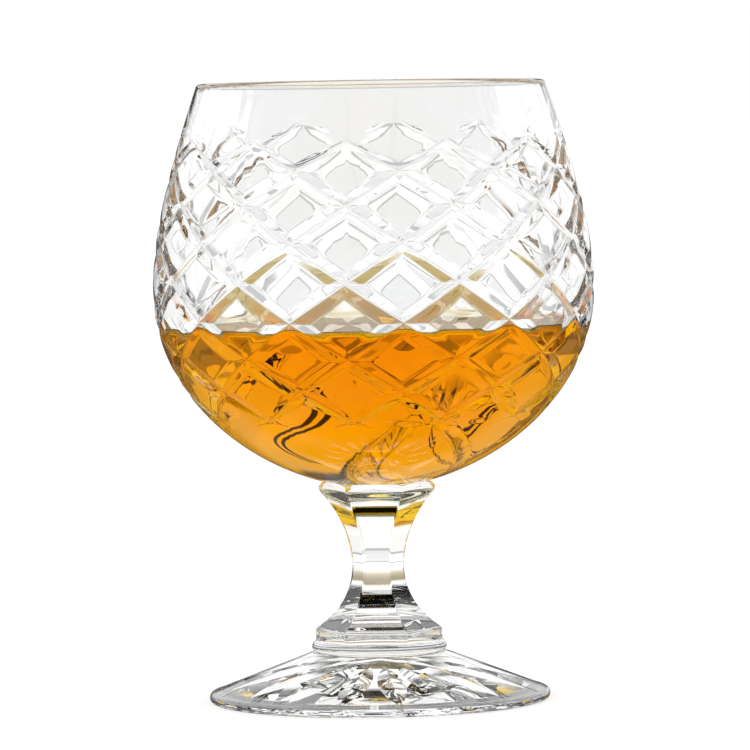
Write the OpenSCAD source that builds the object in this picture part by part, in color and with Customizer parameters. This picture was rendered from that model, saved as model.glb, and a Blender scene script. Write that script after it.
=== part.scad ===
// Brandy snifter: a thick cut-glass bowl on a six-sided stem, a round collar and a star-cut foot.
// Millimetres, +Z up, origin at the bottom centre of the foot.

/* [Foot] */
// Diameter of the foot
foot_d = 73.4; // [66:0.2:90]
// Height of the foot, from the table to the collar
foot_h = 10.4; // [7:0.1:16]
// Thickness of the foot at its rounded edge
foot_edge = 2.2; // [1.6:0.1:3.6]
// Width of the flat ring that rests on the table
rest_ring_w = 4.6; // [2:0.1:8]
// Hollow of the underside at its centre
punt_h = 1.2; // [0.4:0.1:2.4]
// Number of cuts in the star under the foot
star_count = 16; // [8:1:20]
// Radius at which each cut of the star starts
star_inner_r = 4.6; // [3:0.1:8]
// Gap between the star and the resting ring
star_margin = 1.2; // [0.4:0.1:4]
// Width of a cut of the star at its middle
star_cut_w = 5.4; // [3:0.1:5.6]
// Depth of a cut of the star at its middle
star_cut_depth = 1.7; // [0.8:0.1:2.4]
// Turn of the star about the axis, in degrees
star_turn = 7.4; // [-15:0.1:15]

/* [Collar] */
// Diameter of the collar
collar_d = 29; // [24:0.1:40]
// Thickness of the collar
collar_h = 2.5; // [1.6:0.1:5]

/* [Stem] */
// Height of the stem, from the collar to the bowl
stem_h = 34.3; // [28:0.1:60]
// Width of the stem's top across its corners
stem_top_d = 25.6; // [20:0.1:32]
// Width of the stem's bottom across its corners
stem_base_d = 27.4; // [20:0.1:32]
// Width of the stem's waist across its corners
waist_d = 11.4; // [8:0.1:16]
// Height of the waist above the collar
waist_h = 15.8; // [12:0.1:24]
// Height of the straight band at the stem's top
top_band_h = 1.7; // [0.6:0.1:4]
// Height of the straight band at the stem's bottom
base_band_h = 2.7; // [0.6:0.1:5]
// Turn of the stem's facets about the axis, in degrees
stem_turn = -3.5; // [-30:0.1:30]

/* [Bowl] */
// Diameter of the bowl at its belly
bowl_d = 94.8; // [86:0.2:110]
// Outer diameter of the rim
rim_d = 74.4; // [66:0.2:84]
// Height of the bowl, from the stem to the rim
bowl_h = 85.8; // [76:0.2:110]
// Height of the belly above the stem
belly_h = 41.3; // [38:0.1:50]
// Thickness of the wall at the rim
rim_wall = 2.4; // [1.6:0.1:3.6]
// Thickness of the wall at the belly
belly_wall = 4.8; // [3.6:0.1:7]
// Thickness of the floor of the bowl
floor_wall = 6; // [4:0.1:10]

/* [Diamond lattice] */
// Number of diamonds in a row round the bowl
diamond_count = 12; // [8:1:16]
// Number of half-diamond rows from the top of the lattice to its bottom
row_count = 8; // [4:2:10]
// Height of the plain band above the lattice
plain_band_h = 11.6; // [6:0.1:20]
// Height of the lattice
lattice_h = 59.5; // [50:0.1:62]
// Width of a V-shaped cut
groove_w = 4.4; // [2:0.1:5.2]
// Depth of a V-shaped cut
groove_depth = 0.75; // [0.5:0.05:2]
// Turn of the lattice about the axis, in degrees
lattice_turn = -7.4; // [-30:0.1:30]

/* [Brandy] */
// Depth of the drink above the floor of the bowl
fill_h = 27.6; // [6:0.1:32]

/* [Hidden] */
$fn = 96;
// How far a cutter runs past the surface that it cuts
overrun = 1;

// Heights of the faces where the pieces meet
collar_z = foot_h;
stem_z = collar_z + collar_h;
seat_z = stem_z + stem_h;
belly_z = seat_z + belly_h;
rim_z = seat_z + bowl_h;

// Foot and star
foot_r = foot_d / 2;
foot_edge_r = foot_edge / 2;
rest_outer_r = foot_r - foot_edge_r;
rest_inner_r = rest_outer_r - rest_ring_w;
collar_r = collar_d / 2;
star_outer_r = rest_inner_r - star_margin;
star_mid_r = (star_inner_r + star_outer_r) / 2;
star_half_l = (star_outer_r - star_inner_r) / 2;
star_mid_z = punt_h * (1 - star_mid_r / rest_inner_r);
wheel_r = (star_half_l * star_half_l / star_cut_depth + star_cut_depth) / 2;
wheel_slope = 2 * star_cut_depth / star_cut_w;
wheel_half_w = star_cut_w / 2 + overrun;
sector_share = 0.98;

// Stem, measured to the middle of its six flats
flat_share = cos(30);
top_flat = stem_top_d / 2 * flat_share;
base_flat = stem_base_d / 2 * flat_share;
waist_flat = waist_d / 2 * flat_share;
upper_arc_h = stem_h - waist_h - top_band_h;
lower_arc_h = waist_h - base_band_h;

// Bowl profile: fullness of the lower half, straightness of the shoulder, rounding of the rim
fullness_share = 0.55;
shoulder_share = 1.07;
rim_round_share = 0.35;
bowl_r = bowl_d / 2;
rim_r = rim_d / 2;
rim_round = rim_wall * rim_round_share;
inner_belly_r = bowl_r - belly_wall;
inner_rim_r = rim_r - rim_wall;
floor_z = seat_z + floor_wall;
fill_z = floor_z + fill_h;
lower_axis = belly_h / sqrt(1 - pow(top_flat / bowl_r, 1 / fullness_share));
inner_axis = belly_z - floor_z;
fill_angle = acos((belly_z - fill_z) / inner_axis);

// Lattice mesh: columns and rings run along the cuts, with the flat of a diamond in table_steps steps
crowd_share = 0.022;
run_out_rows = 0.9;
table_steps = 3;
cell_steps = table_steps + 2;
columns = diamond_count * cell_steps;
lattice_rings = row_count * cell_steps;
plain_rings = 4;
lower_rings = 9;
round_rings = 3;
half_diamond_angle = 180 / diamond_count;
half_diamond_w = bowl_r * PI / diamond_count;
row_h = lattice_h / row_count;
lattice_pitch = 2 * half_diamond_w * row_h / norm([half_diamond_w, row_h]);
groove_share = groove_w / 2 / lattice_pitch;
lattice_top_z = rim_z - plain_band_h;
lattice_low_z = lattice_top_z - lattice_h;
slope_probe = lattice_h / 1000;
profile_steps = 16;

// Outer radius of the bowl above its belly: a hyperbola, upright at the belly, that reaches the rim
function shoulder_r(z, belly, rim) =
    let (drop = belly - rim)
    let (round = shoulder_share * drop)
    let (rise = (z - belly_z) / (rim_z - belly_z))
    belly + round - sqrt(round * round + (pow(round + drop, 2) - round * round) * rise * rise);

// Outer radius of the bowl at a height: a full ellipse below the belly
function outer_r(z) =
    z > belly_z
        ? shoulder_r(z, bowl_r, rim_r)
        : bowl_r * pow(1 - pow((belly_z - z) / lower_axis, 2), fullness_share);

function outer_slope(z) = (outer_r(z + slope_probe) - outer_r(z - slope_probe)) / slope_probe / 2;

// Inner outline of the bowl, [radius, height], from the middle of the floor to an angle of its ellipse
function inner_arc(from, to) =
    [for (i = [0 : profile_steps])
        let (t = from + (to - from) * i / profile_steps)
        [inner_belly_r * sin(t), belly_z - inner_axis * cos(t)]];

// Inner outline from the belly to just under the rounding of the rim
function inner_shoulder() =
    [for (i = [1 : profile_steps])
        let (z = belly_z + (rim_z - rim_round - belly_z) * i / profile_steps)
        [shoulder_r(z, inner_belly_r, inner_rim_r), z]];

// Inner rounding of the rim
function inner_rounding() =
    [for (i = [1 : round_rings])
        let (t = 90 * i / round_rings)
        [inner_rim_r + rim_round * (1 - cos(t)), rim_z - rim_round * (1 - sin(t))]];

// Place of a mesh line among the cuts: whole numbers are the bottoms of the cuts
function wrapped(i, n) = (i % n + n) % n;
function line_share(j) =
    j == 0 ? 0 : groove_share + (j - 1) * (1 - 2 * groove_share) / table_steps;
function line_place(i) = floor(i / cell_steps) + line_share(wrapped(i, cell_steps));
function on_cut(i) = wrapped(i, cell_steps) == 0;

// Height of a row of the lattice, counted from its top: the rows crowd a little towards both ends
function row_z(row) =
    lattice_top_z - lattice_h * (row / row_count - crowd_share * sin(360 * row / row_count));

// The cuts run out to nothing at the top and the bottom of the lattice
function run_out(row) = min(1, row / run_out_rows, (row_count - row) / run_out_rows);

function around(r, turn, z) = [r * sin(turn), -r * cos(turn), z];

function plain_ring(r, z, rows_down) =
    [for (i = [0 : columns - 1])
        around(r, lattice_turn + half_diamond_angle * (2 * line_place(i) - rows_down), z)];

// A ring of the lattice: points on a cut sink along the surface's normal
function lattice_ring(k) =
    [for (i = [0 : columns - 1])
        let (row = line_place(i) - line_place(i - k))
        let (turn = lattice_turn + half_diamond_angle * (line_place(i) + line_place(i - k)))
        let (z = row_z(row))
        let (slope = outer_slope(z))
        let (sink = on_cut(i) || on_cut(i - k) ? groove_depth * run_out(row) : 0)
        let (along = sink / sqrt(1 + slope * slope))
        around(outer_r(z) - along, turn, z + along * slope)];

function rim_rings() =
    [for (j = [0 : round_rings])
        let (t = 90 * j / round_rings)
        let (z = rim_z - rim_round * (1 - cos(t)))
        plain_ring(outer_r(rim_z - rim_round) - rim_round * (1 - sin(t)), z, 0)];

function band_rings() =
    [for (j = [1 : plain_rings])
        let (z = rim_z - rim_round - (plain_band_h - rim_round) * j / (plain_rings + 1))
        plain_ring(outer_r(z), z, 0)];

function bottom_rings() =
    [for (j = [1 : lower_rings])
        let (z = lattice_low_z + (seat_z - lattice_low_z) * j / lower_rings)
        plain_ring(outer_r(z), z, row_count)];

// The two triangles of one patch of the ring stack. At the upper and lower tips of a diamond the patch is
// split upright, so that the walls of two crossing cuts meet in a mitre.
function patch(i, k, first, last) =
    let (next = (i + 1) % columns)
    let (here = k * columns)
    let (above = here - columns)
    let (below = here + columns)
    let (across = wrapped(i, cell_steps))
    let (along = wrapped(i - k + first, cell_steps))
    let (tip = k > first && k < last && abs(across - along) == cell_steps - 1)
    tip
        ? [[here + i, above + i, below + next], [above + i, here + next, below + next]]
        : [[here + i, above + i, here + next], [here + i, here + next, below + next]];

// Outside of the bowl as one closed skin of rings, from the rim down to the seat
module bowl_skin() {
    upper = concat(rim_rings(), band_rings());
    lattice = [for (k = [0 : lattice_rings]) lattice_ring(k)];
    rings = concat(upper, lattice, bottom_rings());
    first = len(upper);
    last = first + lattice_rings;
    bottom = len(rings) - 1;
    points = concat([for (ring = rings) each ring], [[0, 0, rim_z], [0, 0, seat_z]]);
    top_centre = len(points) - 2;
    seat_centre = len(points) - 1;
    sides = [
        for (k = [0 : bottom])
            for (i = [0 : columns - 1])
                let (pair = patch(i, k, first, last))
                each k == 0 ? [pair[1]] : k == bottom ? [pair[0]] : pair
    ];
    rim_face = [for (i = [0 : columns - 1]) [top_centre, (i + 1) % columns, i]];
    seat_face = [
        for (i = [0 : columns - 1])
            [seat_centre, bottom * columns + i, bottom * columns + (i + 1) % columns]
    ];
    polyhedron(points, concat(sides, rim_face, seat_face));
}

// Thick bowl with the diamond lattice cut into its outside
module bowl() {
    cavity = concat(
        inner_arc(0, fill_angle),
        inner_arc(fill_angle, 90),
        inner_shoulder(),
        inner_rounding(),
        [[inner_rim_r + rim_round, rim_z + overrun], [0, rim_z + overrun]]
    );
    color("aliceblue", 0.4)
        difference() {
            bowl_skin();
            rotate_extrude() polygon(cavity);
        }
}

// The drink, in contact with the bowl's wet wall
module brandy() {
    color("orange", 0.8)
        rotate_extrude() polygon(concat(inner_arc(0, fill_angle), [[0, fill_z]]));
}

// One of the stem's hollow arcs, [corner radius, height]: it leaves the waist upright and reaches a wider flat
function hollow_arc(rise, reach) =
    let (arc_r = (rise * rise + reach * reach) / reach / 2)
    [for (i = [0 : profile_steps])
        let (h = abs(rise) * i / profile_steps)
        [(waist_flat + arc_r - sqrt(arc_r * arc_r - h * h)) / flat_share, waist_h + sign(rise) * h]];

function reversed(list) = [for (i = [len(list) - 1 : -1 : 0]) list[i]];

// Six-sided stem: two hollow arcs that meet at the waist, between the straight bands of the bottom and the top
module stem() {
    lower_arc = hollow_arc(-lower_arc_h, base_flat - waist_flat);
    upper_arc = hollow_arc(upper_arc_h, top_flat - waist_flat);
    outline = concat(
        [[0, 0], [stem_base_d / 2, 0]],
        reversed(lower_arc),
        [for (i = [1 : profile_steps]) upper_arc[i]],
        [[stem_top_d / 2, stem_h], [0, stem_h]]
    );
    color("aliceblue", 0.4)
        translate([0, 0, stem_z])
            rotate(stem_turn)
                rotate_extrude($fn = 6) polygon(outline);
}

// Round disc with a full round edge
module collar() {
    edge_r = collar_h / 2;
    color("aliceblue", 0.4)
        translate([0, 0, collar_z])
            rotate_extrude() {
                square([collar_r - edge_r, collar_h]);
                translate([collar_r - edge_r, edge_r]) circle(edge_r);
            }
}

// Side view of the foot: a low cone with a round edge, a flat resting ring and a slightly hollow underside
module foot_profile() {
    polygon([
        [0, punt_h],
        [rest_inner_r, 0],
        [rest_outer_r, 0],
        [rest_outer_r, foot_edge],
        [collar_r, foot_h],
        [0, foot_h]
    ]);
    translate([rest_outer_r, foot_edge_r]) circle(foot_edge_r);
}

// Top of the V-edged wheel that grinds one leaf-shaped cut of the star from below, within its share of the turn
module star_wheel() {
    sector_w = foot_d * tan(180 / star_count * sector_share);
    intersection() {
        translate([star_mid_r, 0, star_mid_z + star_cut_depth - wheel_r])
            for (side = [0, 1])
                mirror([0, side, 0])
                    rotate([-90, 0, 0])
                        cylinder(wheel_half_w, wheel_r, wheel_r - wheel_half_w * wheel_slope);
        translate([0, 0, -overrun])
            linear_extrude(foot_h)
                polygon([[0, 0], [foot_d, -sector_w], [foot_d, sector_w]]);
    }
}

// Foot with the star ground into its underside
module foot() {
    color("aliceblue", 0.4)
        difference() {
            rotate_extrude() foot_profile();
            for (i = [0 : star_count - 1])
                rotate(star_turn - 90 + 360 * i / star_count) star_wheel();
        }
}

bowl();
brandy();
stem();
collar();
foot();
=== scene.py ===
import math

import bpy
import numpy as np
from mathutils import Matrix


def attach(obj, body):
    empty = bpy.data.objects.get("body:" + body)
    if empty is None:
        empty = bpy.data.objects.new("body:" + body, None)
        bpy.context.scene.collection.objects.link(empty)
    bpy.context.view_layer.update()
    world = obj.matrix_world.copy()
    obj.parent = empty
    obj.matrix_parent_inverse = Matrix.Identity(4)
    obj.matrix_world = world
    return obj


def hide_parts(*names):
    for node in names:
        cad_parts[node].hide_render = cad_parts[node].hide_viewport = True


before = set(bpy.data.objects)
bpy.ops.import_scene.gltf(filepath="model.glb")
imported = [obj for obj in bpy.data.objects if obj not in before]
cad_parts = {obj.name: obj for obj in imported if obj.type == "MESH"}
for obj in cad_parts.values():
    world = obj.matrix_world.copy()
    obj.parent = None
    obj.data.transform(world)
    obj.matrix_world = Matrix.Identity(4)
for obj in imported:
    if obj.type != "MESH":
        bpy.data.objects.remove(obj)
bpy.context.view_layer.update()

# Sizes in millimetres, with those of the large forms the same as in the part's source
# Turns are in radians, 0 at the front and growing to the right
MM = 0.001
DEG = math.pi / 180

FOOT_R, FOOT_H, FOOT_EDGE = 36.7, 10.4, 2.2
REST_W, PUNT_H = 4.6, 1.2
STAR_COUNT, STAR_INNER_R, STAR_MARGIN = 16, 4.6, 1.2
STAR_CUT_W, STAR_CUT_DEPTH, STAR_TURN = 5.4, 1.7, 7.4 * DEG
COLLAR_R, COLLAR_H = 14.5, 2.5
STEM_H, WAIST_H, TOP_BAND_H, BASE_BAND_H = 34.3, 15.8, 1.7, 2.7
TOP_R, BASE_R, WAIST_R = 12.8, 13.7, 5.7
SIDES = 6
HALF_SIDE = 180 / SIDES * DEG
FLAT_SHARE = math.cos(HALF_SIDE)
TOP_FLAT, BASE_FLAT, WAIST_FLAT = TOP_R * FLAT_SHARE, BASE_R * FLAT_SHARE, WAIST_R * FLAT_SHARE
STEM_TURN, CORNER_ROUND, SHOULDER_ROUND = -3.5 * DEG, 0.5, 0.3
BOWL_R, RIM_R, BOWL_H, BELLY_H = 47.37, 37.2, 85.8, 41.3
RIM_WALL, BELLY_WALL, FLOOR_WALL = 2.4, 4.8, 6.0
DIAMONDS, ROWS, PLAIN_BAND_H, LATTICE_H = 12, 8, 11.6, 59.5
GROOVE_W, GROOVE_DEPTH, LATTICE_TURN = 4.4, 0.75, -7.4 * DEG
FILL_H, MENISCUS_H, MENISCUS_W, WET_OVERLAP = 27.6, 1.2, 1.4, 0.12

COLLAR_Z = FOOT_H
STEM_Z = COLLAR_Z + COLLAR_H
SEAT_Z = STEM_Z + STEM_H
BELLY_Z = SEAT_Z + BELLY_H
RIM_Z = SEAT_Z + BOWL_H
FLOOR_Z = SEAT_Z + FLOOR_WALL
FILL_Z = FLOOR_Z + FILL_H
LATTICE_TOP_Z = RIM_Z - PLAIN_BAND_H
LATTICE_LOW_Z = LATTICE_TOP_Z - LATTICE_H
INNER_BELLY_R, INNER_RIM_R = BOWL_R - BELLY_WALL, RIM_R - RIM_WALL
INNER_AXIS = BELLY_Z - FLOOR_Z
FULLNESS, STRAIGHTNESS, CROWDING = 0.55, 1.07, 0.022
LOWER_AXIS = BELLY_H / math.sqrt(1 - (TOP_FLAT / BOWL_R) ** (1 / FULLNESS))
RIM_ROUND = RIM_WALL * 0.42
LIP_Z = RIM_Z - RIM_ROUND
RUN_OUT_ROWS = 0.95


def around(r, turn, z):
    """Points at a radius, a turn from the front and a height: (r sin turn, -r cos turn, z)."""
    r, turn, z = np.broadcast_arrays(r, turn, z)
    return np.stack([r * np.sin(turn), -r * np.cos(turn), z], axis=-1)


def shoulder_radius(z, belly, rim):
    """Hyperbola above the belly: upright at the belly, and through the rim at the rim's height."""
    drop = belly - rim
    bend = STRAIGHTNESS * drop
    rise = (z - BELLY_Z) / (RIM_Z - BELLY_Z)
    return belly + bend - np.sqrt(bend**2 + ((bend + drop) ** 2 - bend**2) * rise**2)


def outer_radius(z):
    """Outside of the bowl: the shoulder above the belly, and a full ellipse raised to a power below it."""
    down = np.clip((BELLY_Z - z) / LOWER_AXIS, 0.0, 1.0)
    below = BOWL_R * (1 - down**2) ** FULLNESS
    return np.where(z > BELLY_Z, shoulder_radius(z, BOWL_R, RIM_R), below)


def inner_radius(z):
    """Inside of the bowl: the inner shoulder above the belly, and a half ellipse below it."""
    down = np.clip((BELLY_Z - z) / INNER_AXIS, 0.0, 1.0)
    below = INNER_BELLY_R * np.sqrt(1 - down**2)
    return np.where(z > BELLY_Z, shoulder_radius(z, INNER_BELLY_R, INNER_RIM_R), below)


def six_sided(turn, flat):
    """Radius of a six-sided outline at a turn: flat / cos within a side, and a small circle at each
    corner."""
    side = (turn - STEM_TURN + HALF_SIDE) % (2 * HALF_SIDE) - HALF_SIDE
    corner = HALF_SIDE - np.abs(side)
    centre = (flat - CORNER_ROUND) / FLAT_SHARE
    on_side = flat / np.cos(side)
    reach = np.sqrt(np.clip(CORNER_ROUND**2 - (centre * np.sin(corner)) ** 2, 0.0, None))
    on_corner = centre * np.cos(corner) + reach
    past_side = flat * np.tan(np.abs(side)) > (flat - CORNER_ROUND) * math.tan(HALF_SIDE)
    return np.where(past_side, on_corner, on_side)


def ring_faces(rows, columns):
    """Quads between neighbouring rings of a stack: each row is the number of the ring that its quads
    start from."""
    k, i = np.meshgrid(rows, np.arange(columns), indexing="ij")
    k, i = k.ravel(), i.ravel()
    n = (i + 1) % columns
    above, below = k * columns, (k + 1) * columns
    return np.stack([below + i, below + n, above + n, above + i], axis=1)


def pole_faces(first_pole, last_ring, columns):
    """Fans of triangles from the two poles of a stack to its first and its last ring."""
    i = np.arange(columns)
    n = (i + 1) % columns
    low = last_ring * columns
    first = np.stack([i, n, np.full(columns, first_pole)], axis=1)
    last = np.stack([low + n, low + i, np.full(columns, first_pole + 1)], axis=1)
    return first, last


def with_poles(rings, first_z, last_z):
    """Points of a stack of rings, with a pole on the axis at each end."""
    return np.concatenate([rings.reshape(-1, 3), [[0, 0, first_z], [0, 0, last_z]]])


def closed_stack(rings, first_z, last_z):
    """Closed skin over a stack of rings: its points, the fan at its first pole, the quads between its
    rings and the fan at its last pole."""
    count, columns = rings.shape[:2]
    first, last = pole_faces(count * columns, count - 1, columns)
    return with_poles(rings, first_z, last_z), first, ring_faces(np.arange(count - 1), columns), last


def make_piece(name, node, points, face_sets, materials, crease):
    """A closed mesh from points in millimetres and sets of (faces, number of their material), shaded smooth
    up to an angle of crease in degrees. It stands for a node of the frame and takes the finish of a slot."""
    faces = [face for group, _ in face_sets for face in group.tolist()]
    paint = np.concatenate([np.full(len(group), which) for group, which in face_sets])
    mesh = bpy.data.meshes.new(name)
    mesh.from_pydata((points * MM).tolist(), [], faces)
    for material in materials:
        mesh.materials.append(material)
    mesh.polygons.foreach_set("material_index", paint.astype(np.int32))
    mesh.polygons.foreach_set("use_smooth", np.ones(len(faces), dtype=bool))
    mesh.set_sharp_from_angle(angle=crease * DEG)
    mesh.update()
    piece = bpy.data.objects.new(name, mesh)
    bpy.context.scene.collection.objects.link(piece)
    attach(piece, "root")
    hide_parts(node)
    return piece


# Finishes

CRYSTAL_IOR, SPIRIT_IOR = 1.52, 1.36
# The lip's grey tint of 0.7 is a painted shade that darkens the line of the rim; the crystal there is as
# clear as elsewhere.
CLEAR, PAINTED_RIM_SHADE, RED_LESS = 0.99, 0.7, 0.005
CUT_WAVE_SCALE, PLAIN_WAVE_SCALE, WAVE_STRENGTH, WAVE_DEPTH = 45.0, 60.0, 0.02, 0.001
WIPE_SCALE, WIPE_START, WIPE_END, WIPE_ROUGHNESS = 900.0, 0.3, 0.8, 0.03
SPIRIT_TINT, SPIRIT_DENSITY = (0.991, 0.884, 0.0, 1), 150.0
WHITE, BLACK, SOOT = (1, 1, 1, 1), (0, 0, 0, 1), (0.005, 0.005, 0.005, 1)


def finish_nodes(name):
    """A new material with one shader: the material, its nodes, its links and the shader."""
    material = bpy.data.materials.new(name)
    material.use_nodes = True
    nodes, links = material.node_tree.nodes, material.node_tree.links
    return material, nodes, links, nodes["Principled BSDF"]


def fill_in(node, values):
    """Sets sockets of a node by their names."""
    for name, value in values.items():
        node.inputs[name].default_value = value


def crystal(name, wave_scale, wave, mirror, pale):
    """Colourless crystal with the faint waviness of hand-polished glass, as a noise in its bump, and a trace
    of wiping marks, as a finer noise in its roughness. Mirror scales its reflection, and pale is its tint:
    nearly clear, or on the lip a grey that is a painted shade for the dark line of the rim."""
    material, nodes, links, shader = finish_nodes(name)
    fill_in(shader, {
        "Base Color": (pale - RED_LESS, pale, pale, 1),
        "Specular Tint": (mirror, mirror, mirror, 1),
        "Transmission Weight": 1.0,
        "IOR": CRYSTAL_IOR,
    })
    place = nodes.new("ShaderNodeTexCoord")
    swell = nodes.new("ShaderNodeTexNoise")
    fill_in(swell, {"Scale": wave_scale, "Detail": 1.0})
    bump = nodes.new("ShaderNodeBump")
    fill_in(bump, {"Strength": wave, "Distance": WAVE_DEPTH})
    wipe = nodes.new("ShaderNodeTexNoise")
    fill_in(wipe, {"Scale": WIPE_SCALE, "Detail": 3.0})
    gloss = nodes.new("ShaderNodeMapRange")
    fill_in(gloss, {"From Min": WIPE_START, "From Max": WIPE_END, "To Min": 0.0, "To Max": WIPE_ROUGHNESS})
    links.new(place.outputs["Object"], swell.inputs["Vector"])
    links.new(swell.outputs["Fac"], bump.inputs["Height"])
    links.new(bump.outputs["Normal"], shader.inputs["Normal"])
    links.new(place.outputs["Object"], wipe.inputs["Vector"])
    links.new(wipe.outputs["Fac"], gloss.inputs["Value"])
    links.new(gloss.outputs["Result"], shader.inputs["Roughness"])
    return material


def fused_joint():
    """Where two pieces of the glass are melted into each other there is no surface, so light passes
    straight on."""
    material, _, _, shader = finish_nodes("fused_joint")
    fill_in(shader, {"Base Color": WHITE, "Alpha": 0.0})
    return material


def amber_drink():
    """Clear spirit that swallows blue at once and green slowly, so it is golden where thin and orange where
    deep."""
    material, nodes, links, shader = finish_nodes("amber_brandy")
    fill_in(shader, {
        "Base Color": WHITE,
        "Roughness": 0.0,
        "Transmission Weight": 1.0,
        "IOR": SPIRIT_IOR,
        "Specular Tint": BLACK,
    })
    tint = nodes.new("ShaderNodeVolumeAbsorption")
    fill_in(tint, {"Color": SPIRIT_TINT, "Density": SPIRIT_DENSITY})
    links.new(tint.outputs["Volume"], nodes["Material Output"].inputs["Volume"])
    return material


# Numbers of the materials on a piece
GLASS, JOINT, WETTED, LIP = range(4)


# Bowl

CUT_SHARES = np.array([0.0, 0.08, 0.16, 0.7, 0.8, 0.9, 1.0, 1.1, 1.2, 1.3])
CUT_ROUND, EDGE_ROUND, LEAST_CUT = 0.16, 0.3, 0.06
TABLE_STEPS = 6
CUT_STEPS = len(CUT_SHARES) - 1
CELL_STEPS = TABLE_STEPS + 2 * CUT_STEPS
COLUMNS = DIAMONDS * CELL_STEPS
LATTICE_RINGS = ROWS * CELL_STEPS
WET_RINGS, DRY_RINGS, SHOULDER_RINGS = 40, 8, 30
LIP_STEPS, BAND_RINGS, BOTTOM_RINGS = 16, 12, 46
BOWL_CREASE = 60
HALF_DIAMOND = math.pi / DIAMONDS
HALF_DIAMOND_W, ROW_H = BOWL_R * HALF_DIAMOND, LATTICE_H / ROWS
GROOVE_SHARE = GROOVE_W / 2 * math.hypot(HALF_DIAMOND_W, ROW_H) / (2 * HALF_DIAMOND_W * ROW_H)


def cut_line(i, share):
    """Place of mesh line i across the cuts: whole numbers are the bottoms of the cuts. Near a cut the lines
    keep to parts of its half width, close together at its bottom and its edges, and the table between is
    divided evenly."""
    step = i % CELL_STEPS
    back = CELL_STEPS - step
    near = np.minimum(step, back)
    wall = CUT_SHARES[np.minimum(near, CUT_STEPS)] * share
    rim = CUT_SHARES[-1] * share
    table = rim + (near - CUT_STEPS) * (1 - 2 * rim) / TABLE_STEPS
    place = np.where(near <= CUT_STEPS, wall, table)
    return i // CELL_STEPS + np.where(step <= back, place, 1 - place)


def row_height(row):
    """Height of a row of the lattice below its top; the rows crowd a little towards both ends."""
    return LATTICE_TOP_Z - LATTICE_H * (row / ROWS - CROWDING * np.sin(2 * np.pi * row / ROWS))


def cut_profile(x):
    """Depth of a cut across its width, as a share of the sharp V: straight walls 1 - x, a small round at the
    bottom and a soft polished edge, which are parabolas that meet the walls without a corner."""
    bottom = 1 - CUT_ROUND / 2 - x**2 / CUT_ROUND / 2
    edge = np.clip(1 + EDGE_ROUND - x, 0.0, None) ** 2 / EDGE_ROUND / 4
    return np.where(x < CUT_ROUND, bottom, np.where(x > 1 - EDGE_ROUND, edge, 1 - x))


def run_out(row):
    """Depth of the cuts along a row: full in the middle, and lifted on a parabola, close to the wheel's
    circle, towards both ends."""
    near = np.clip(np.minimum(row, ROWS - row) / RUN_OUT_ROWS, 0.0, 1.0)
    return 1 - (1 - near) ** 2


def lattice_rings():
    """Rings of the diamond lattice. Lines of both sets of cuts run through the grid, u = line(i) and
    v = line(i - k): u - v gives the row and u + v the turn. A point sinks along the normal of the bowl by
    the deeper of the two V cuts there, and a cut is as wide as it is deep, so its ends are pointed leaves."""
    k, i = np.meshgrid(np.arange(LATTICE_RINGS + 1), np.arange(COLUMNS), indexing="ij")
    share = np.full(k.shape, GROOVE_SHARE)
    row = cut_line(i, share) - cut_line(i - k, share)
    share = GROOVE_SHARE * np.maximum(run_out(row), LEAST_CUT)
    u, v = cut_line(i, share), cut_line(i - k, share)
    row = u - v
    z = row_height(row)
    probe = LATTICE_H / 1000
    slope = (outer_radius(z + probe) - outer_radius(z - probe)) / probe / 2
    from_cut = np.minimum(np.abs(u - np.round(u)), np.abs(v - np.round(v))) / share
    sink = GROOVE_DEPTH * run_out(row) * cut_profile(from_cut) / np.sqrt(1 + slope**2)
    return around(outer_radius(z) - sink, LATTICE_TURN + HALF_DIAMOND * (u + v), z + sink * slope)


def lattice_faces(first):
    """Diamond-shaped quads of the lattice, whose left, lower, right and upper corners lie on three rings.
    Where two cuts cross, a quad is split along the line in which their walls meet."""
    k, i = np.meshgrid(np.arange(LATTICE_RINGS + 1), np.arange(COLUMNS), indexing="ij")
    n = (i + 1) % COLUMNS
    left, right = (first + k) * COLUMNS + i, (first + k) * COLUMNS + n
    upper, lower = (first + k - 1) * COLUMNS + i, (first + k + 1) * COLUMNS + n
    across, along = i % CELL_STEPS, (i - k) % CELL_STEPS
    low_u, low_v = across < CUT_STEPS, along < CUT_STEPS
    high_u, high_v = across >= CELL_STEPS - CUT_STEPS, along >= CELL_STEPS - CUT_STEPS
    crossing = (low_u | high_u) & (low_v | high_v)
    inner = (k > 0) & (k < LATTICE_RINGS)
    upright = inner & crossing & (low_u != low_v)
    level = inner & crossing & (low_u == low_v)
    plain = inner & ~crossing
    quads = np.stack([left, lower, right, upper], axis=-1)[plain]
    triangles = np.concatenate([
        np.stack([left, lower, right], axis=-1)[level | (k == 0)],
        np.stack([left, right, upper], axis=-1)[level | (k == LATTICE_RINGS)],
        np.stack([left, lower, upper], axis=-1)[upright],
        np.stack([lower, right, upper], axis=-1)[upright],
    ])
    return quads, triangles


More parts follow.
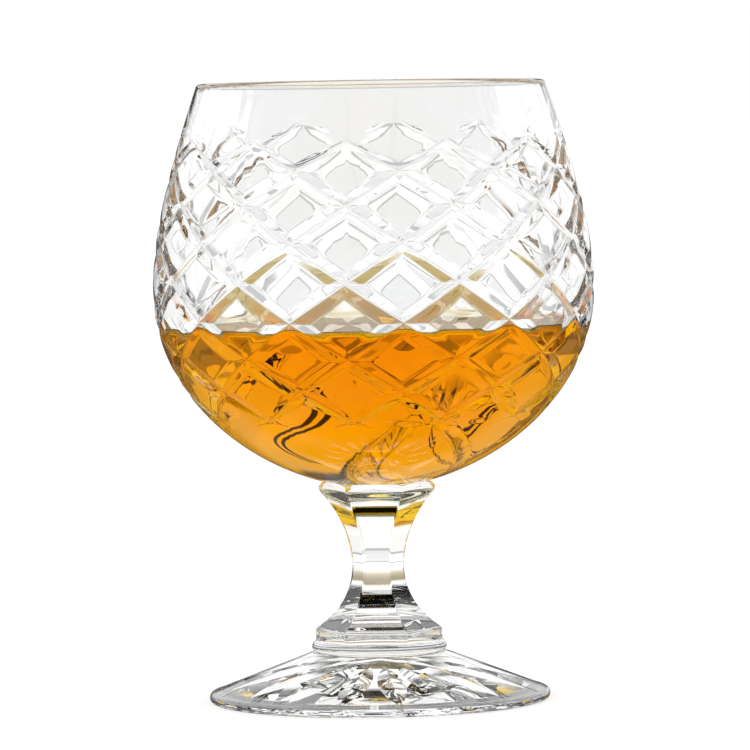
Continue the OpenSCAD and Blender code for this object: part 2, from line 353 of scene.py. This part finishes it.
def make_bowl(materials):
    """Closed skin from the middle of the floor up the inside, over the half ellipse of the lip, down the
    outside with its lattice and along the round bottom in to the seat on the stem."""
    line = cut_line(np.arange(COLUMNS), np.full(COLUMNS, GROOVE_SHARE))
    turn = LATTICE_TURN + HALF_DIAMOND * 2 * line
    wet = math.acos((BELLY_Z - FILL_Z - MENISCUS_H) / INNER_AXIS)
    wet_part = np.linspace(0, wet, WET_RINGS + 1)[1:]
    dry_part = np.linspace(wet, np.pi / 2, DRY_RINGS + 1)[1:]
    t = np.concatenate([wet_part, dry_part])[:, None]
    cavity = around(INNER_BELLY_R * np.sin(t), turn, BELLY_Z - INNER_AXIS * np.cos(t))
    z = np.linspace(BELLY_Z, LIP_Z, SHOULDER_RINGS + 1)[1:, None]
    shoulder = around(inner_radius(z), turn, z)
    t = np.linspace(0, np.pi, LIP_STEPS + 1)[1:-1, None]
    lip_in, lip_out = inner_radius(LIP_Z), outer_radius(LIP_Z)
    lip_r = (lip_in + lip_out) / 2 - (lip_out - lip_in) / 2 * np.cos(t)
    lip = around(lip_r, turn, LIP_Z + RIM_ROUND * np.sin(t))
    z = np.linspace(LIP_Z, LATTICE_TOP_Z, BAND_RINGS + 1)[:-1, None]
    band = around(outer_radius(z), turn, z)
    lattice = lattice_rings()
    t = np.linspace(0, np.pi / 2, BOTTOM_RINGS + 1)[1:, None]
    z = SEAT_Z + (LATTICE_LOW_Z - SEAT_Z) * (1 - np.sin(t))
    bottom = around(outer_radius(z), turn - HALF_DIAMOND * ROWS, z)
    rings = np.concatenate([cavity, shoulder, lip, band, lattice, bottom])

    wet_high = WET_RINGS - 1
    lip_low = len(cavity) + len(shoulder) - 1
    lip_high = lip_low + len(lip) + 1
    lattice_high = lip_high + len(band)
    lattice_low = lattice_high + LATTICE_RINGS
    last = len(rings) - 1
    floor_fan, seat_fan = pole_faces(len(rings) * COLUMNS, last, COLUMNS)
    quads, triangles = lattice_faces(lattice_high)
    face_sets = [
        (floor_fan, WETTED),
        (ring_faces(np.arange(wet_high), COLUMNS), WETTED),
        (ring_faces(np.arange(wet_high, lip_low), COLUMNS), GLASS),
        (ring_faces(np.arange(lip_low, lip_high), COLUMNS), LIP),
        (ring_faces(np.arange(lip_high, lattice_high), COLUMNS), GLASS),
        (quads, GLASS),
        (triangles, GLASS),
        (ring_faces(np.arange(lattice_low, last), COLUMNS), GLASS),
        (seat_fan, JOINT),
    ]
    points = with_poles(rings, FLOOR_Z, SEAT_Z)
    return make_piece("cut_bowl", "bowl", points, face_sets, materials, BOWL_CREASE)


# Drink

DRINK_COLUMNS, WALL_RINGS = 192, 64
MENISCUS_REACH, MENISCUS_RINGS, SURFACE_RINGS = 8, 40, 16
DRINK_CREASE = 40


def make_brandy(drink):
    """Closed skin from the bottom up the wet wall, a hair into the glass so that no air shows between them,
    and back over the surface, which climbs the wall in a small meniscus: its height falls off with the
    distance from the wall as e to the power of -distance / width."""
    turn = np.arange(DRINK_COLUMNS) * 2 * np.pi / DRINK_COLUMNS
    wet_top = FILL_Z + MENISCUS_H
    end = math.acos((BELLY_Z - wet_top) / INNER_AXIS)
    wall_r, wall_axis = INNER_BELLY_R + WET_OVERLAP, INNER_AXIS + WET_OVERLAP
    t = np.linspace(0, end, WALL_RINGS + 1)[1:, None]
    wall = around(wall_r * np.sin(t), turn, BELLY_Z - wall_axis * np.cos(t))
    edge_r = wall_r * math.sin(end)
    edge_z = BELLY_Z - wall_axis * math.cos(end)
    near_wall = np.linspace(0, MENISCUS_REACH, MENISCUS_RINGS + 1)[1:]
    open_part = np.linspace(MENISCUS_REACH, edge_r, SURFACE_RINGS + 1)[1:-1]
    inward = np.concatenate([near_wall, open_part])[:, None]
    climb = (edge_z - FILL_Z) * np.exp(-inward / MENISCUS_W)
    surface = around(edge_r - inward, turn, FILL_Z + climb)
    rings = np.concatenate([wall, surface])
    points, low, sides, top = closed_stack(rings, FLOOR_Z - WET_OVERLAP, FILL_Z)
    fans = np.concatenate([low, top])
    face_sets = [(fans[:, ::-1], GLASS), (sides[:, ::-1], GLASS)]
    return make_piece("brandy_fill", "brandy", points, face_sets, [drink], DRINK_CREASE)


# Stem and collar

SHAFT_RINGS, CUSHION_RINGS, COLLAR_RINGS = 120, 12, 32
FLAT_LINES, CORNER_LINES = np.linspace(-0.9, 0.9, 9), np.linspace(0.93, 1.07, 11)
MELT_MARGIN = 0.05
STEM_CREASE = 25


def arc_radius(rise, run):
    """Radius of the circle that leaves upright and moves out by run while it rises by rise:
    (rise squared + run squared) / (2 run)."""
    return (rise**2 + run**2) / run / 2


def stem_flat(h):
    """Distance of the stem's flats from its axis at a height above the collar: two hollow arcs that leave
    the waist upright and run into the straight bands of the bottom and the top over a soft, rounded
    shoulder."""
    up_r = arc_radius(STEM_H - WAIST_H - TOP_BAND_H, TOP_FLAT - WAIST_FLAT)
    down_r = arc_radius(WAIST_H - BASE_BAND_H, BASE_FLAT - WAIST_FLAT)
    rise = h - WAIST_H
    arc_r = np.where(rise > 0, up_r, down_r)
    arc = WAIST_FLAT + arc_r - np.sqrt(np.clip(arc_r**2 - rise**2, 0.0, None))
    band = np.where(rise > 0, TOP_FLAT, BASE_FLAT)
    return -SHOULDER_ROUND * np.logaddexp(-arc / SHOULDER_ROUND, -band / SHOULDER_ROUND)


def stem_turns():
    """Turns of the mesh lines round the stem, in shares of half a side: a few on each flat and more round
    each corner."""
    side = np.concatenate([FLAT_LINES, CORNER_LINES])
    return STEM_TURN + (np.arange(SIDES)[:, None] * (360 / SIDES) + side * (180 / SIDES)).ravel() * DEG


def make_stem(materials):
    """Six-sided waisted bar: rings of a six-sided outline from the bowl down to the collar, with melted
    ends. At the top the corners bend over on a quarter of an ellipse, so that the first ring is the round
    seat of the bowl."""
    turn = stem_turns()
    t = np.linspace(0, np.pi / 2, CUSHION_RINGS + 1)[:-1, None]
    h = STEM_H - TOP_BAND_H * (1 - np.cos(t))
    flat = stem_flat(h)
    cushion = around(flat + (six_sided(turn, flat) - flat) * np.sin(t), turn, STEM_Z + h)
    h = np.linspace(0, STEM_H - TOP_BAND_H, SHAFT_RINGS + 1)[::-1, None]
    shaft = around(six_sided(turn, stem_flat(h)), turn, STEM_Z + h)
    points, top, sides, low = closed_stack(np.concatenate([cushion, shaft]), SEAT_Z, STEM_Z)
    face_sets = [(top, JOINT), (sides, GLASS), (low, JOINT)]
    return make_piece("faceted_stem", "stem", points, face_sets, materials, STEM_CREASE)


def make_collar(materials):
    """Disc with a full round edge, turned from a half circle. The faces that are melted to the stem and the
    foot are flat."""
    turn = stem_turns()
    edge_r = COLLAR_H / 2
    flat_r = COLLAR_R - edge_r
    melted_r = np.minimum(six_sided(turn, BASE_FLAT), flat_r - MELT_MARGIN)[None, :]
    melted = around(melted_r, turn, STEM_Z)
    t = np.linspace(0, np.pi, COLLAR_RINGS + 1)[:, None]
    edge = around(flat_r + edge_r * np.sin(t), turn, COLLAR_Z + edge_r + edge_r * np.cos(t))
    points, top, sides, low = closed_stack(np.concatenate([melted, edge]), STEM_Z, COLLAR_Z)
    face_sets = [(top, JOINT), (sides, GLASS), (low, JOINT)]
    return make_piece("round_collar", "collar", points, face_sets, materials, STEM_CREASE)


# Foot

REST_OUTER_R = FOOT_R - FOOT_EDGE / 2
REST_INNER_R = REST_OUTER_R - REST_W
STAR_OUTER_R = REST_INNER_R - STAR_MARGIN
STAR_MID_R = (STAR_INNER_R + STAR_OUTER_R) / 2
STAR_HALF_L = (STAR_OUTER_R - STAR_INNER_R) / 2
STAR_START_R, STAR_END_R = STAR_OUTER_R + 0.3, 0.8
WHEEL_R = (STAR_HALF_L**2 / STAR_CUT_DEPTH + STAR_CUT_DEPTH) / 2
WHEEL_SLOPE = 2 * STAR_CUT_DEPTH / STAR_CUT_W
WHEEL_Z = PUNT_H * (1 - STAR_MID_R / REST_INNER_R) + STAR_CUT_DEPTH - WHEEL_R
LEAF_LEAST, LEAF_MOST = 0.01, 0.94
LEAF_LINES, TABLE_LINES = np.linspace(0, 1, 5), np.linspace(1, 2, 4)[1:]
STAR_RINGS, MIDDLE_RINGS, CONE_RINGS, FOOT_EDGE_RINGS = 60, 7, 24, 16
FOOT_CREASE = 9


def hollow(r):
    """Height of the slightly hollow underside at a radius: a cone from the resting ring up to the middle."""
    return PUNT_H * (1 - r / REST_INNER_R)


def both_sides(half):
    """A half sector, with its columns from the middle line out, as the left side from its edge in and the
    right side from the middle line out. The right edge is left to the next sector."""
    return half[:, :0:-1], half[:, :-1]


def star_rings():
    """Underside of the foot, from outside in: a slightly hollow cone with leaf-shaped V cuts. Each cut
    belongs to one sector of the star; x runs along its middle line and y across. The wheel's edge is a
    circle that shrinks with y, so z = wheel centre + root of ((wheel radius - slope y) squared -
    (x - middle) squared)."""
    sector = math.pi / STAR_COUNT
    spread = math.tan(sector)
    along_cuts = np.linspace(STAR_START_R, STAR_INNER_R, STAR_RINGS + 1)
    inside_cuts = np.linspace(STAR_INNER_R, STAR_END_R, MIDDLE_RINGS + 1)[1:]
    x = np.concatenate([along_cuts, inside_cuts])[:, None]
    leaf = (WHEEL_R - np.sqrt((x - STAR_MID_R) ** 2 + (hollow(x) - WHEEL_Z) ** 2)) / WHEEL_SLOPE
    leaf = np.clip(leaf, LEAF_LEAST * x * spread, LEAF_MOST * x * spread)
    share = np.concatenate([LEAF_LINES, TABLE_LINES])
    y = np.where(share <= 1, share * leaf, leaf + (share - 1) * (x * spread - leaf))
    r = np.hypot(x, y)
    depth = np.clip((WHEEL_R - WHEEL_SLOPE * y) ** 2 - (x - STAR_MID_R) ** 2, 0.0, None)
    wheel = WHEEL_Z + np.sqrt(depth)
    z = np.maximum(hollow(r), np.where(share < 1, wheel, hollow(r)))
    left, right = both_sides(np.arctan2(y, x))
    turn = np.concatenate([-left, right], axis=1)
    r = np.concatenate(both_sides(r), axis=1)
    z = np.concatenate(both_sides(z), axis=1)
    turns = STAR_TURN + np.arange(STAR_COUNT)[:, None] * 2 * sector + turn[:, None, :]
    return around(r[:, None, :], turns, z[:, None, :]).reshape(len(x), -1, 3), turns.reshape(len(x), -1)


def make_foot(materials):
    """Low cone from the collar out to a round edge, a half circle, under it the flat resting ring and the
    star."""
    star, star_turn = star_rings()
    turn = star_turn[0]
    melted = around(np.full((1, 1), COLLAR_R - COLLAR_H / 2), turn, FOOT_H)
    share = np.linspace(0, 1, CONE_RINGS + 1)[:, None]
    cone_r = COLLAR_R + (REST_OUTER_R - COLLAR_R) * share
    cone = around(cone_r, turn, FOOT_H + (FOOT_EDGE - FOOT_H) * share)
    t = np.linspace(0, np.pi, FOOT_EDGE_RINGS + 1)[1:, None]
    edge = around(REST_OUTER_R + FOOT_EDGE / 2 * np.sin(t), turn, FOOT_EDGE / 2 * (1 + np.cos(t)))
    rest = around(np.full((1, 1), REST_INNER_R), turn, 0.0)
    rings = np.concatenate([melted, cone, edge, rest, star])
    points, top, sides, low = closed_stack(rings, FOOT_H, PUNT_H)
    face_sets = [(top, JOINT), (sides, GLASS), (low, GLASS)]
    return make_piece("star_foot", "foot", points, face_sets, materials, FOOT_CREASE)


cut_crystal = crystal("cut_crystal", CUT_WAVE_SCALE, WAVE_STRENGTH, 1.0, CLEAR)
wetted_crystal = crystal("wetted_crystal", CUT_WAVE_SCALE, 0.0, 0.0, CLEAR)
plain_crystal = crystal("plain_crystal", PLAIN_WAVE_SCALE, WAVE_STRENGTH, 1.0, CLEAR)
# The grey tint of the lip is a painted shade for the dark line along the rim.
lip_crystal = crystal("lip_crystal", CUT_WAVE_SCALE, 0.0, 1.0, PAINTED_RIM_SHADE)
joint = fused_joint()
make_bowl([cut_crystal, joint, wetted_crystal, lip_crystal])
make_brandy(amber_drink())
make_stem([plain_crystal, joint])
make_collar([plain_crystal, joint])
make_foot([plain_crystal, joint])


# Studio, which only lights the glass

def sum_up(tree, operation, *values):
    """One math node: each value is a number or the output of another node."""
    node = tree.nodes.new("ShaderNodeMath")
    node.operation = operation
    for socket, value in zip(node.inputs, values):
        if isinstance(value, (int, float)):
            socket.default_value = value
        else:
            tree.links.new(value, socket)
    return node.outputs[0]


def product(tree, first, *others):
    """The first value times all the others."""
    for value in others:
        first = sum_up(tree, "MULTIPLY", first, value)
    return first


def larger(tree, first, second):
    """The larger of two values."""
    return sum_up(tree, "MAXIMUM", first, second)


def without(tree, value):
    """What a share leaves of the whole: 1 - value."""
    return sum_up(tree, "SUBTRACT", 1.0, value)


def ramp(tree, value, step):
    """Smooth step between two levels. A step is (start, end, level up to the start, level from the end)."""
    node = tree.nodes.new("ShaderNodeMapRange")
    node.interpolation_type = "SMOOTHSTEP"
    tree.links.new(value, node.inputs["Value"])
    fill_in(node, dict(zip(("From Min", "From Max", "To Min", "To Max"), step)))
    return node.outputs["Result"]


def stage_piece(name, points, faces, material):
    """A mesh of the studio that isn't part of the glass."""
    mesh = bpy.data.meshes.new(name)
    mesh.from_pydata(points.tolist(), [], faces.tolist())
    mesh.materials.append(material)
    piece = bpy.data.objects.new(name, mesh)
    bpy.context.scene.collection.objects.link(piece)
    return piece


DIM_ROOM = 0.05
# Steps by how often light was mirrored in the glass
MIRRORED = (0.0, 1.0, 0.0, 1.0)
AT_MOST_ONCE = (1.4, 1.6, 1.0, 0.0)
# Step by how often it passed a surface: twice in the stem or the foot, and more often in the bowl
PASSED_BOWL = (2.4, 2.6, 0.0, 1.0)
# Step by the angle from the nearest of four sides
PANEL_EDGE = (6 * DEG, 7 * DEG, 0.35, 0.55)


def far_panel(tree, axes):
    """Light that the far background adds to its lowest level: less straight behind the glass from each of
    four sides, and more beside that. The bearing runs to and fro between 0 and an eighth of a turn."""
    bearing = sum_up(tree, "ARCTAN2", axes.outputs["X"], axes.outputs["Y"])
    aside = sum_up(tree, "PINGPONG", bearing, math.pi / 4)
    return ramp(tree, aside, PANEL_EDGE)


# Table

# Steps by the distance from the middle of the foot, in metres
# Painted light and shade on the table, seen only through the glass: shadows of the stem and the foot's edge,
# a bright ring round the foot and grey shade near it.
STEM_SHADOW = (0.007, 0.013, 0.05, 1.0)
EDGE_SHADOW = (0.0350, 0.0362, 1.0, 0.1)
RING_START, RING_END = (0.0367, 0.0380, 0.0, 0.95), (0.05, 0.065, 1.0, 0.0)
OPEN_START, NEAR_SHADE_RISE = (0.037, 0.05, 0.0, 1.0), (0.05, 0.2, 0.32, 0.95)
FAR_FALL, FAR_START = (0.70, 0.76, 1.1, 0.6), (0.92, 0.98, 0.0, 1.0)
GLOW_START, GLOW_END = (0.045, 0.06, 0.0, 1.0), (0.12, 0.2, 1.0, 0.0)
MIRROR_END = (0.08, 0.14, 1.0, 0.0)
# Steps by the distance to the side, and by the distance to the back, in metres
MIDDLE_SHADE_STRIP = (0.012, 0.018, 0.85, 0.0)
FRONT_SHADE_PART, MIRROR_START = (0.015, 0.025, 1.0, 0.0), (0.01, 0.03, 0.0, 0.2)
GLOW_GREEN, GLOW_BLUE = -0.12, -0.34
TABLE_SHINE, TABLE_PALE, TABLE_ROUGHNESS, TABLE_HALF = 0.65, 0.45, 0.9, 6.0


def white_table():
    """Wide pale table top: four corners at the height of the foot. It looks white to the eye and keeps the
    shadow. Seen through the glass it carries painted light and shade: white under the foot, a painted shadow
    under the stem and at the foot's edge, a painted bright ring round the foot, then painted grey shade with
    a painted warm glow, white further out and a little grey in the distance. Light that was mirrored in the
    glass finds painted shade in the middle and the front under the foot, and a mirror shows the table dim,
    with a painted lighter patch just behind the foot."""
    material, nodes, links, shader = finish_nodes("pale_table")
    tree = material.node_tree
    fill_in(shader, {"Roughness": TABLE_ROUGHNESS, "Specular IOR Level": 0.0})
    path = nodes.new("ShaderNodeLightPath")
    seen_through = path.outputs["Is Transmission Ray"]
    place = nodes.new("ShaderNodeTexCoord")
    length = nodes.new("ShaderNodeVectorMath")
    length.operation = "LENGTH"
    links.new(place.outputs["Object"], length.inputs[0])
    reach = length.outputs["Value"]
    axes = nodes.new("ShaderNodeSeparateXYZ")
    links.new(place.outputs["Object"], axes.inputs[0])
    to_side, to_back = sum_up(tree, "ABSOLUTE", axes.outputs["X"]), axes.outputs["Y"]

    # Painted shade: light mirrored in the glass finds the table dark in a strip down the middle and at the
    # front under the foot.
    painted_shade_part = larger(tree, ramp(tree, to_side, MIDDLE_SHADE_STRIP), ramp(tree, to_back, FRONT_SHADE_PART))
    painted_shade_part = product(tree, painted_shade_part, ramp(tree, path.outputs["Glossy Depth"], MIRRORED))
    # Painted shadows under the stem and at the foot's edge, then a painted bright ring and painted grey shade
    # round the foot.
    under = product(tree, ramp(tree, reach, STEM_SHADOW), without(tree, painted_shade_part))
    under = product(tree, under, ramp(tree, reach, EDGE_SHADOW))
    bright_ring = product(tree, ramp(tree, reach, RING_START), ramp(tree, reach, RING_END))
    open_table = product(tree, ramp(tree, reach, NEAR_SHADE_RISE), ramp(tree, reach, OPEN_START))
    open_table = sum_up(tree, "ADD", open_table, bright_ring)
    behind = product(tree, sum_up(tree, "ADD", under, open_table), ramp(tree, reach, FAR_FALL))
    far = product(tree, far_panel(tree, axes), ramp(tree, reach, FAR_START))
    behind = sum_up(tree, "ADD", behind, far)
    # Painted light and shade in a mirror: the table is dim, and lighter just behind the foot.
    mirrored = product(tree, ramp(tree, to_back, MIRROR_START), ramp(tree, reach, MIRROR_END))
    mirrored = sum_up(tree, "ADD", mirrored, DIM_ROOM)
    level = product(tree, behind, seen_through)
    level = sum_up(tree, "MULTIPLY_ADD", mirrored, path.outputs["Is Reflection Ray"], level)
    level = sum_up(tree, "MULTIPLY_ADD", path.outputs["Is Camera Ray"], TABLE_SHINE, level)
    links.new(level, shader.inputs["Emission Strength"])

    # Painted warm glow: light come through the brandy, tinting the table round the foot, seen only through
    # the glass.
    glow = product(tree, ramp(tree, reach, GLOW_START), ramp(tree, reach, GLOW_END), seen_through)
    warm = nodes.new("ShaderNodeCombineColor")
    warm.inputs["Red"].default_value = 1.0
    links.new(sum_up(tree, "MULTIPLY_ADD", glow, GLOW_GREEN, 1.0), warm.inputs["Green"])
    links.new(sum_up(tree, "MULTIPLY_ADD", glow, GLOW_BLUE, 1.0), warm.inputs["Blue"])
    links.new(warm.outputs["Color"], shader.inputs["Emission Color"])
    glass_sees = larger(tree, seen_through, path.outputs["Is Glossy Ray"])
    links.new(product(tree, without(tree, glass_sees), TABLE_PALE), shader.inputs["Base Color"])
    corners = np.array([[-1, -1, 0], [1, -1, 0], [1, 1, 0], [-1, 1, 0]]) * TABLE_HALF
    stage_piece("table_top", corners, np.array([[0, 1, 2, 3]]), material)


# Ribbons

RIBBON_REACH, RIBBON_LOW, RIBBON_TOP, RIBBON_STEPS = 0.6, 0.17, 0.5, 48
RIBBON_TURN, RIBBON_SWING = 13 * DEG, -6 * DEG
RIBBON_EDGES = np.array([[-1.5, -0.5], [0.5, 1.5]]) * DEG


def dark_ribbons():
    """Pairs of thin black ribbons that hang out of the picture, to both sides of what is behind the glass
    from each of four sides. They draw fine dark lines in the glass. Each is a strip between two turns, and
    its middle line swings once to each side on the way up: turn + swing times the sine of a full circle of
    the share of the height."""
    up = np.linspace(0, 1, RIBBON_STEPS + 1)
    side = np.repeat(np.arange(4) * 90 * DEG, 2)[:, None, None, None]
    hand = np.tile([1.0, -1.0], 4)[:, None, None, None]
    swing = (RIBBON_SWING * np.sin(2 * np.pi * up))[None, None, :, None]
    turn = side + hand * (RIBBON_TURN + swing) + RIBBON_EDGES[None, :, None, :]
    height = RIBBON_LOW + (RIBBON_TOP - RIBBON_LOW) * up
    z = np.broadcast_to(height[None, None, :, None], turn.shape)
    points = np.stack([RIBBON_REACH * np.sin(turn), RIBBON_REACH * np.cos(turn), z], axis=-1)
    points = points.reshape(-1, 3)
    strip_points = 2 * len(up)
    strip_starts = np.arange(0, len(points), strip_points)
    strip, step = np.meshgrid(strip_starts, np.arange(RIBBON_STEPS) * 2, indexing="ij")
    first = (strip + step).ravel()
    faces = np.stack([first, first + 1, first + 3, first + 2], axis=1)
    material, _, _, shader = finish_nodes("black_ribbon")
    fill_in(shader, {"Base Color": SOOT, "Specular IOR Level": 0.0})
    ribbons = stage_piece("dark_ribbons", points, faces, material)
    ribbons.visible_camera = ribbons.visible_shadow = ribbons.visible_diffuse = False


# Room

# Steps by the height of a direction, which is the sine of its angle over the horizon
HORIZON_END, WALL_RISE = (0.065, 0.075, 1.0, 0.0), (0.09, 0.10, 0.6, 1.1)
WALL_TOP, WINDOW_LOW = (0.30, 0.42, 0.0, 0.1), (0.08, 0.16, 0.0, 1.0)
CUT_FRAMES, SEAT_CORNERS = (0.24, 0.32, 0.6, 0.0), (0.66, 0.74, 0.0, 0.75)
STEM_FACETS, FAR_SIDE_TOP = (0.40, 0.46, 0.0, 0.98), (0.80, 0.86, 1.0, 0.0)
SLOPE_START, SLOPE_END = (0.40, 0.50, 0.0, 1.06), (0.86, 0.92, 1.0, 0.0)
# Steps by the bearing from straight behind
FAR_SIDE = (44 * DEG, 48 * DEG, 1.0, 0.0)
WINDOW_START, WINDOW_END = (4 * DEG, 8 * DEG, 0.0, 1.0), (55 * DEG, 65 * DEG, 1.0, 0.0)
# Steps of the beam across it, and by the cosine of the angle from its middle
BEAM_TILT = 12 * DEG
BEAM_W, BEAM_REACH = (0.26, 0.32, 0.98, 0.0), (math.cos(37 * DEG), math.cos(33 * DEG), 0.0, 1.0)


def white_room():
    """White room: plain white to the eye. In the glass it is a soft white wall all round, a little grey near
    the horizon, under a dark beam of the ceiling, and a mirror shows a dim room with bright windows behind.
    Light that was mirrored in the glass meets a darker room, which draws the frames of the cuts in the
    drink, the corners under the bowl and the facets of the stem. Mirrored twice in the bowl, it finds the
    slope of the upper wall bright again."""
    world = bpy.data.worlds.new("white_room")
    bpy.context.scene.world = world
    world.use_nodes = True
    tree = world.node_tree
    nodes, links = tree.nodes, tree.links
    place = nodes.new("ShaderNodeTexCoord")
    axes = nodes.new("ShaderNodeSeparateXYZ")
    links.new(place.outputs["Generated"], axes.inputs[0])
    height = axes.outputs["Z"]
    bearing = sum_up(tree, "ARCTAN2", axes.outputs["X"], axes.outputs["Y"])
    either_way = sum_up(tree, "ABSOLUTE", bearing)
    path = nodes.new("ShaderNodeLightPath")
    passed_bowl = ramp(tree, path.outputs["Transmission Depth"], PASSED_BOWL)
    was_mirrored = ramp(tree, path.outputs["Glossy Depth"], MIRRORED)
    at_most_once = ramp(tree, path.outputs["Glossy Depth"], AT_MOST_ONCE)

    wall = product(tree, far_panel(tree, axes), ramp(tree, height, HORIZON_END))
    wall = sum_up(tree, "ADD", wall, ramp(tree, height, WALL_RISE))
    wall = sum_up(tree, "ADD", wall, ramp(tree, height, WALL_TOP))
    overhead = nodes.new("ShaderNodeVectorMath")
    overhead.operation = "DOT_PRODUCT"
    links.new(place.outputs["Generated"], overhead.inputs[0])
    overhead.inputs[1].default_value = (0.0, math.sin(BEAM_TILT), math.cos(BEAM_TILT))
    across = sum_up(tree, "ABSOLUTE", axes.outputs["X"])
    beam = product(tree, ramp(tree, across, BEAM_W), ramp(tree, overhead.outputs["Value"], BEAM_REACH))
    inside = product(tree, wall, without(tree, beam))

    corners = product(tree, ramp(tree, height, SEAT_CORNERS), at_most_once)
    in_bowl = product(tree, larger(tree, ramp(tree, height, CUT_FRAMES), corners), passed_bowl)
    far_side = product(tree, ramp(tree, either_way, FAR_SIDE), ramp(tree, height, FAR_SIDE_TOP))
    spared = without(tree, larger(tree, passed_bowl, far_side))
    in_stem = product(tree, ramp(tree, height, STEM_FACETS), spared)
    dark_side = product(tree, was_mirrored, larger(tree, in_bowl, in_stem))
    inside = product(tree, inside, without(tree, dark_side))
    slope = product(tree, ramp(tree, height, SLOPE_START), ramp(tree, height, SLOPE_END))
    twice = product(tree, without(tree, at_most_once), product(tree, passed_bowl, slope))
    inside = larger(tree, inside, product(tree, wall, twice))

    window = product(tree, ramp(tree, bearing, WINDOW_START), ramp(tree, bearing, WINDOW_END))
    high_window = product(tree, ramp(tree, either_way, WINDOW_END), ramp(tree, height, WINDOW_LOW))
    dim = product(tree, without(tree, larger(tree, window, high_window)), 1 - DIM_ROOM)
    in_mirror = product(tree, path.outputs["Is Glossy Ray"], path.outputs["Is Reflection Ray"])
    darker = product(tree, path.outputs["Is Transmission Ray"], without(tree, inside))
    darker = sum_up(tree, "MULTIPLY_ADD", in_mirror, dim, darker)
    background = nodes["Background"]
    background.inputs["Color"].default_value = WHITE
    links.new(without(tree, darker), background.inputs["Strength"])


# Camera

LENS, SENSOR_W, CLIP_START, CLIP_END = 302.0, 36.0, 0.05, 50.0
EYE, AIM, LEAN = np.array([0.0, -1.35, 0.150]), np.array([0.0, 0.0, 0.070]), -0.93 * DEG
LIGHT_BOUNCES, MIRROR_BOUNCES = 24, 16


def camera():
    """Long lens in front of the glass, a little above it, with the small lean of the photograph."""
    data = bpy.data.cameras.new("camera")
    data.lens, data.sensor_width = LENS, SENSOR_W
    data.clip_start, data.clip_end = CLIP_START, CLIP_END
    view = bpy.data.objects.new("camera", data)
    forward = (AIM - EYE) / np.linalg.norm(AIM - EYE)
    pitch = math.asin(forward[2])
    view.rotation_mode = "XYZ"
    view.location = EYE
    view.rotation_euler = (math.pi / 2 + pitch, 0.0, 0.0)
    view.rotation_euler.rotate_axis("Z", LEAN)
    bpy.context.scene.collection.objects.link(view)
    bpy.context.scene.camera = view


white_table()
dark_ribbons()
white_room()
camera()
scene = bpy.context.scene
scene.view_settings.view_transform = "Standard"
scene.cycles.max_bounces = LIGHT_BOUNCES
scene.cycles.transmission_bounces = LIGHT_BOUNCES
scene.cycles.glossy_bounces = MIRROR_BOUNCES
